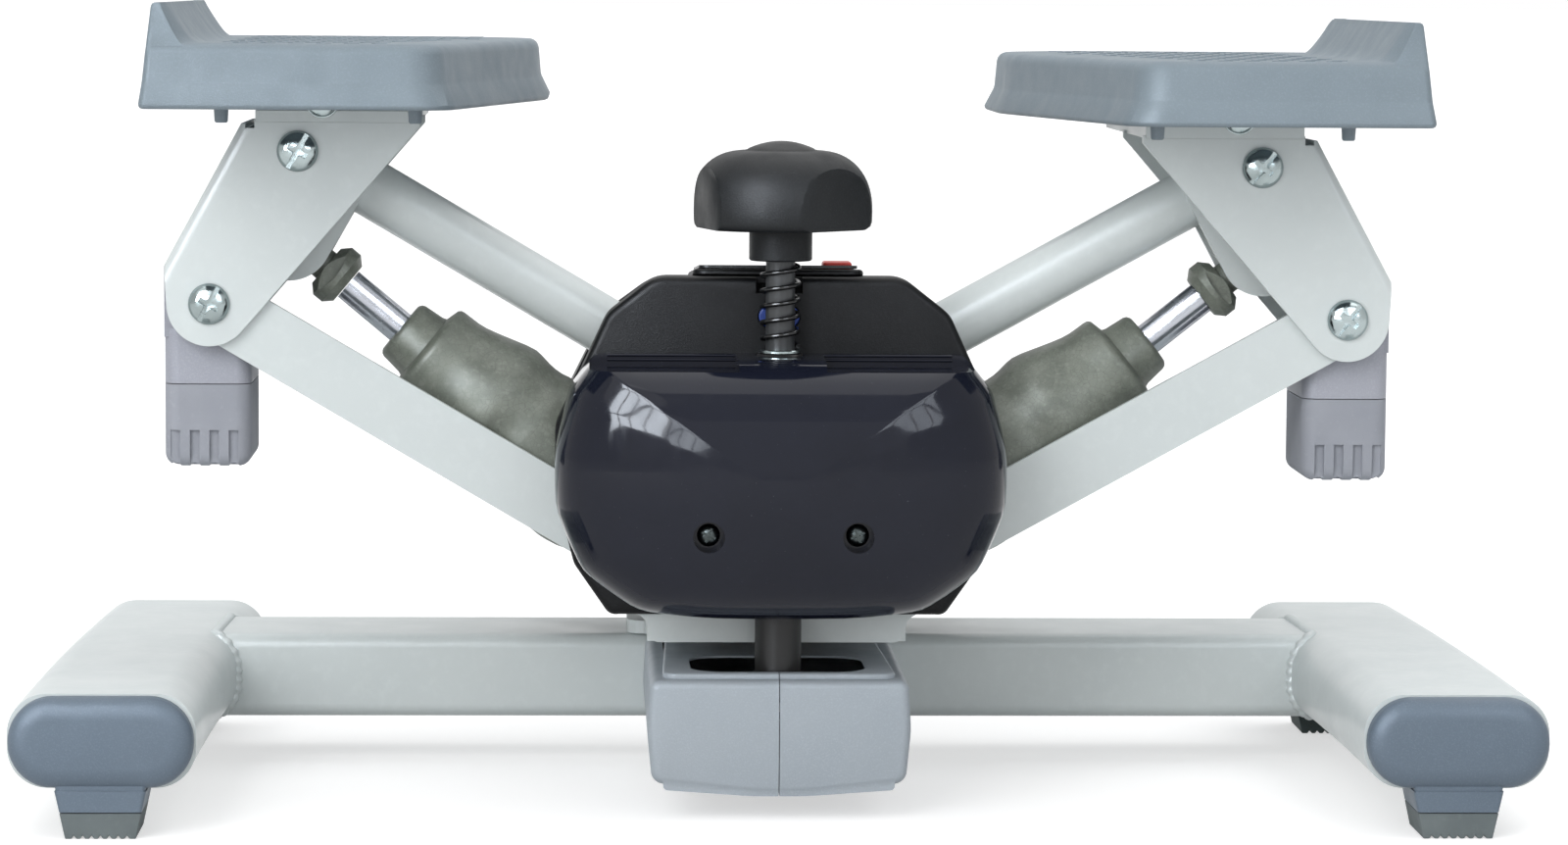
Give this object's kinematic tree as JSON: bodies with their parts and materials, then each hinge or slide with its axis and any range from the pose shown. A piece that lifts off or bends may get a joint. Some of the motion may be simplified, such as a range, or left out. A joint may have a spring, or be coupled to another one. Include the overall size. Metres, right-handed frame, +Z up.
{
  "type": "twist stepper",
  "caption": "Low twist stepper: a swivelling unit with a domed smoky front and a lock knob carries parallel pedal arms with oil dampers, on a steel base with end caps and feet",
  "frame": {"origin": "on the floor, under the middle of the base", "axes": "+X to the right pedal as the viewer in front sees it, +Y from the lock knob to the spindle at the back, +Z up"},
  "size_m": [0.507, 0.256, 0.2735],
  "materials": {
    "white_paint": "satin white-grey powder coat",
    "cap_plastic": "fine-grained slate plastic",
    "pad_rubber": "matt grey rubber",
    "rear_rubber": "matt dark green-grey rubber",
    "nose_plastic": "fine-grained light grey plastic",
    "pedal_plastic": "textured blue-grey plastic",
    "bumper_plastic": "matt grey plastic",
    "bumper_rubber": "matt grey rubber",
    "damper_paint": "matt olive-grey paint",
    "chrome": "polished",
    "zinc": "bright zinc plate",
    "plain_steel": "plain",
    "bronze": "plain bearing bronze",
    "black_rod": "blackened",
    "sleeve_paint": "semi-gloss black",
    "spring_steel": "oiled black wire",
    "knob_plastic": "fine-grained black",
    "knob_cap_plastic": "fine-grained black",
    "housing_plastic": "satin black",
    "bezel_plastic": "satin silver",
    "window_plastic": "clear window over a dark display",
    "smoky_plastic": "glossy smoked plastic",
    "red_plastic": "satin red",
    "blue_plastic": "satin blue"
  },
  "bodies": {
    "base": {"cross_tube": "white_paint", "left_leg": "white_paint", "right_leg": "white_paint", "left_front_cap": "cap_plastic", "right_front_cap": "cap_plastic", "left_rear_cap": "cap_plastic", "right_rear_cap": "cap_plastic", "left_front_foot": "pad_rubber", "right_front_foot": "pad_rubber", "left_rear_foot": "rear_rubber", "right_rear_foot": "rear_rubber", "nose_arm": "plain_steel", "nose_cover_left": "nose_plastic", "nose_cover_right": "nose_plastic", "turntable_plate": "white_paint", "twist_spindle": "plain_steel"},
    "twist_unit": {"twist_bush": "bronze", "spindle_nut": "zinc", "twist_frame": "white_paint", "housing_front": "housing_plastic", "housing_rear": "housing_plastic", "console_body": "housing_plastic", "console_bezel": "bezel_plastic", "display_window": "window_plastic", "smoky_cover": "smoky_plastic", "blue_plug": "blue_plastic", "lock_sleeve": "sleeve_paint", "spring_washer": "zinc", "left_upper_axle": "zinc", "right_upper_axle": "zinc", "plunger_spring": "spring_steel"},
    "rocker": {"balance_rocker": "zinc"},
    "button": {"red_button": "red_plastic"},
    "plunger": {"lock_rod": "black_rod"},
    "lock_knob": {"knob": "knob_plastic", "knob_cap": "knob_cap_plastic"},
    "left_lower_arm": {"left_lower_arm_front": "white_paint", "left_lower_arm_rear": "white_paint"},
    "left_upper": {"left_upper_arm": "white_paint"},
    "left_damper": {"left_damper_body": "damper_paint"},
    "left_damper_slider": {"left_damper_rod": "chrome", "left_damper_end": "damper_paint"},
    "left_pedal_unit": {"left_pedal_bracket": "white_paint", "left_pedal": "pedal_plastic", "left_bumper_block": "bumper_plastic", "left_bumper_foot": "bumper_rubber", "left_lower_bolt": "zinc", "left_upper_bolt": "zinc"},
    "right_lower_arm": {"right_lower_arm_front": "white_paint", "right_lower_arm_rear": "white_paint"},
    "right_upper": {"right_upper_arm": "white_paint"},
    "right_damper": {"right_damper_body": "damper_paint"},
    "right_damper_slider": {"right_damper_rod": "chrome", "right_damper_end": "damper_paint"},
    "right_pedal_unit": {"right_pedal_bracket": "white_paint", "right_pedal": "pedal_plastic", "right_bumper_block": "bumper_plastic", "right_bumper_foot": "bumper_rubber", "right_lower_bolt": "zinc", "right_upper_bolt": "zinc"}
  },
  "joints": [
    {"name": "twist", "type": "hinge", "parent": "base", "child": "twist_unit", "pos_m": [0, 0.055, 0.0465], "axis": [0, 0, 1], "range_deg": [-9, 9]},
    {"name": "left_step", "type": "hinge", "parent": "twist_unit", "child": "left_lower_arm", "pos_m": [-0.046, -0.0205, 0.084], "axis": [0, 1, 0], "range_deg": [-23.5, 22.1]},
    {"name": "right_step", "type": "hinge", "parent": "twist_unit", "child": "right_lower_arm", "pos_m": [0.046, -0.0205, 0.084], "axis": [0, 1, 0], "range_deg": [-23.6, 22.2]},
    {"name": "left_upper_swing", "type": "hinge", "parent": "twist_unit", "child": "left_upper", "pos_m": [-0.016, -0.0205, 0.1358], "axis": [0, 1, 0], "range_deg": [-23.6, 22.2]},
    {"name": "right_upper_swing", "type": "hinge", "parent": "twist_unit", "child": "right_upper", "pos_m": [0.016, -0.0205, 0.1358], "axis": [0, 1, 0], "range_deg": [-23.6, 22.2]},
    {"name": "left_pedal_level", "type": "hinge", "parent": "left_lower_arm", "child": "left_pedal_unit", "pos_m": [-0.19263, -0.0205, 0.17003], "axis": [0, 1, 0], "range_deg": [-22.2, 23.6]},
    {"name": "right_pedal_level", "type": "hinge", "parent": "right_lower_arm", "child": "right_pedal_unit", "pos_m": [0.19483, -0.0205, 0.16616], "axis": [0, 1, 0], "range_deg": [-22.2, 23.6]},
    {"name": "rocker_swing", "type": "hinge", "parent": "twist_unit", "child": "rocker", "pos_m": [0, -0.0525, 0.0773], "axis": [0, 1, 0], "range_deg": [-9.2, 9.7]},
    {"name": "left_damper_swing", "type": "hinge", "parent": "twist_unit", "child": "left_damper", "pos_m": [-0.028, -0.0205, 0.0756], "axis": [0, 1, 0], "range_deg": [-20.2, 19.2]},
    {"name": "right_damper_swing", "type": "hinge", "parent": "twist_unit", "child": "right_damper", "pos_m": [0.028, -0.0205, 0.0756], "axis": [0, 1, 0], "range_deg": [-20.2, 19.2]},
    {"name": "left_damper_stroke", "type": "slide", "parent": "left_damper", "child": "left_damper_slider", "axis": [-0.7679, 0, 0.6405], "range_m": [-0.0224, 0.0212]},
    {"name": "right_damper_stroke", "type": "slide", "parent": "right_damper", "child": "right_damper_slider", "axis": [0.7818, 0, 0.6235], "range_m": [-0.0212, 0.0224]},
    {"name": "lock_press", "type": "slide", "parent": "twist_unit", "child": "plunger", "axis": [0, 0, 1], "range_m": [-0.011, 0], "stiffness_N_per_m": 400, "springref_m": 0.012, "deforming": ["plunger_spring"]},
    {"name": "knob_turn", "type": "hinge", "parent": "plunger", "child": "lock_knob", "pos_m": [0, -0.072, 0.1868], "axis": [0, 0, 1], "range_deg": [-90, 0]},
    {"name": "mode_press", "type": "slide", "parent": "twist_unit", "child": "button", "axis": [0, 0, 1], "range_m": [-0.0015, 0], "stiffness_N_per_m": 500, "springref_m": 0.002}
  ],
  "couplings": [
    {"joint": "right_step", "follows": "left_step", "ratio": 1},
    {"joint": "left_upper_swing", "follows": "left_step", "ratio": 1},
    {"joint": "right_upper_swing", "follows": "left_step", "ratio": 1},
    {"joint": "left_pedal_level", "follows": "left_step", "ratio": -1},
    {"joint": "right_pedal_level", "follows": "left_step", "ratio": -1},
    {"joint": "rocker_swing", "follows": "left_step", "ratio": -0.4},
    {"joint": "left_damper_swing", "follows": "left_step", "ratio": 0.84},
    {"joint": "right_damper_swing", "follows": "left_step", "ratio": 0.85},
    {"joint": "left_damper_stroke", "follows": "left_step", "m_per_rad": 0.0534},
    {"joint": "right_damper_stroke", "follows": "left_step", "m_per_rad": -0.053}
  ]
}
